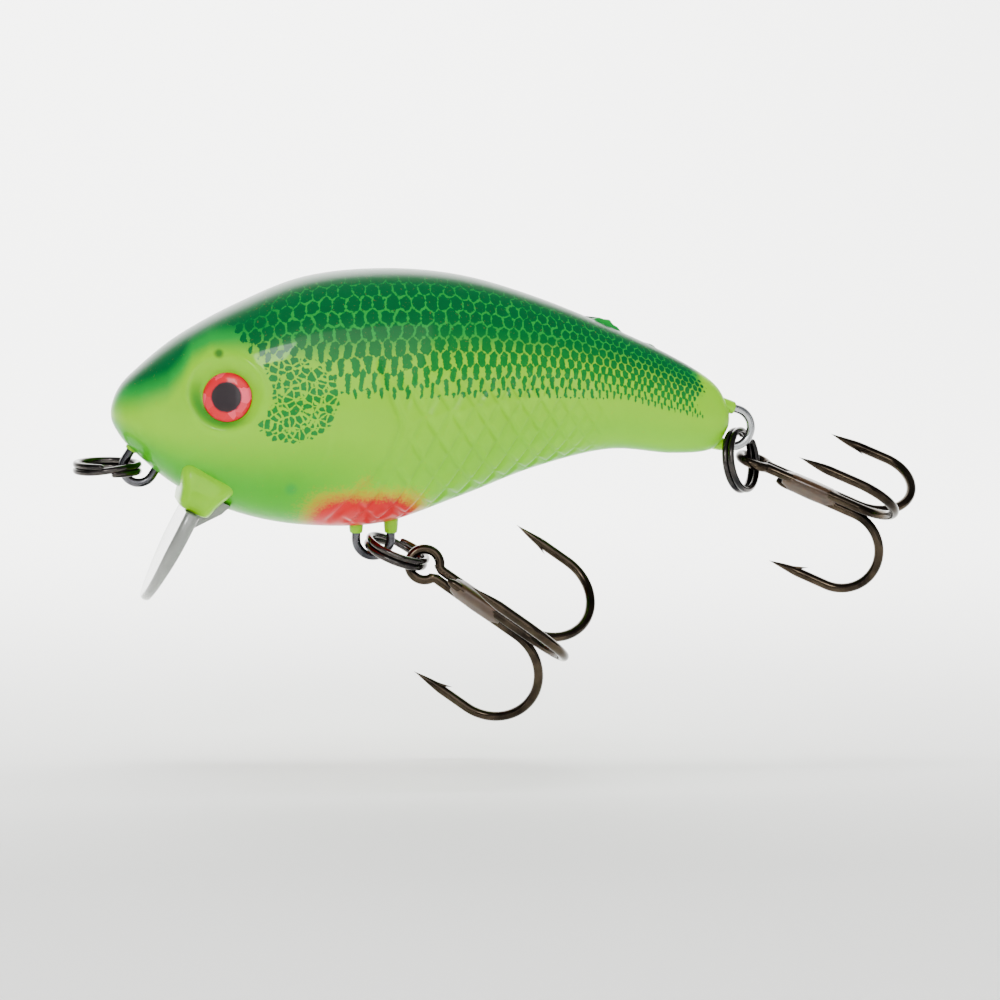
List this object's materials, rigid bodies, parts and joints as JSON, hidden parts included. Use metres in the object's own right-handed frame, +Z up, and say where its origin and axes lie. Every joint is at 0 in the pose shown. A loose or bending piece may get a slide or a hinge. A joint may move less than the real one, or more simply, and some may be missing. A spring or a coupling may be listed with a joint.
{
  "type": "crankbait lure",
  "caption": "Fat-bodied shallow-diving crankbait with a round lip, split rings, wire hangers and treble hooks that swing.",
  "frame": {"origin": "centre of the line tie loop under the snout", "axes": "+X from the snout to the tail, +Y out of the right flank, +Z up through the back"},
  "size_m": [0.0788, 0.0206, 0.0417],
  "materials": {
    "painted_shell": "chartreuse and green paint under a high gloss clear coat",
    "foil_eye": "red foil disc with a dark pupil under clear lacquer",
    "clear_lip": "smoky clear moulded plastic",
    "hanger_wire": "bright drawn stainless wire",
    "split_ring_steel": "black nickel plated spring steel",
    "black_nickel_hook": "bronzed black nickel plated hook wire",
    "braze": "lacquered brown braze",
    "ballast_metal": "dull cast slug",
    "rattle_steel": "polished bearing ball"
  },
  "bodies": {
    "lure_body": {"left_shell": "painted_shell", "right_shell": "painted_shell", "left_eye": "foil_eye", "right_eye": "foil_eye", "diving_lip": "clear_lip", "line_tie_wire": "hanger_wire", "belly_hanger_wire": "hanger_wire", "tail_hanger_wire": "hanger_wire", "ballast_weight": "ballast_metal"},
    "front_rattle": {"front_rattle_ball": "rattle_steel"},
    "rear_rattle": {"rear_rattle_ball": "rattle_steel"},
    "nose_ring": {"nose_split_ring": "split_ring_steel"},
    "belly_ring": {"belly_split_ring": "split_ring_steel"},
    "tail_ring": {"tail_split_ring": "split_ring_steel"},
    "belly_hook": {"belly_hook_double": "black_nickel_hook", "belly_hook_single": "black_nickel_hook", "belly_hook_braze": "braze"},
    "tail_hook": {"tail_hook_double": "black_nickel_hook", "tail_hook_single": "black_nickel_hook", "tail_hook_braze": "braze"}
  },
  "joints": [
    {"name": "nose_ring_swing", "type": "hinge", "parent": "lure_body", "child": "nose_ring", "pos_m": [0, 0, 0], "axis": [0, 1, 0], "range_deg": [-85, 25]},
    {"name": "belly_ring_swing", "type": "hinge", "parent": "lure_body", "child": "belly_ring", "pos_m": [0.0209, 0, -0.0067], "axis": [0, 1, 0], "range_deg": [-8, 95]},
    {"name": "belly_hook_swing", "type": "hinge", "parent": "belly_ring", "child": "belly_hook", "pos_m": [0.02587, -0.00102, -0.00876], "axis": [0.5825, 0.0789, 0.809], "range_deg": [-25, 25]},
    {"name": "tail_ring_swing", "type": "hinge", "parent": "lure_body", "child": "tail_ring", "pos_m": [0.0553, 0, 0.0035], "axis": [0, 1, 0], "range_deg": [-75, 5]},
    {"name": "tail_hook_swing", "type": "hinge", "parent": "tail_ring", "child": "tail_hook", "pos_m": [0.05754, 0.00216, 0.00057], "axis": [-0.0657, 0.1368, 0.9884], "range_deg": [-45, 25]},
    {"name": "front_rattle_roll", "type": "slide", "parent": "lure_body", "child": "front_rattle", "axis": [1, 0, 0], "range_m": [0, 0.0044]},
    {"name": "rear_rattle_roll", "type": "slide", "parent": "lure_body", "child": "rear_rattle", "axis": [1, 0, 0], "range_m": [0, 0.0074]}
  ]
}
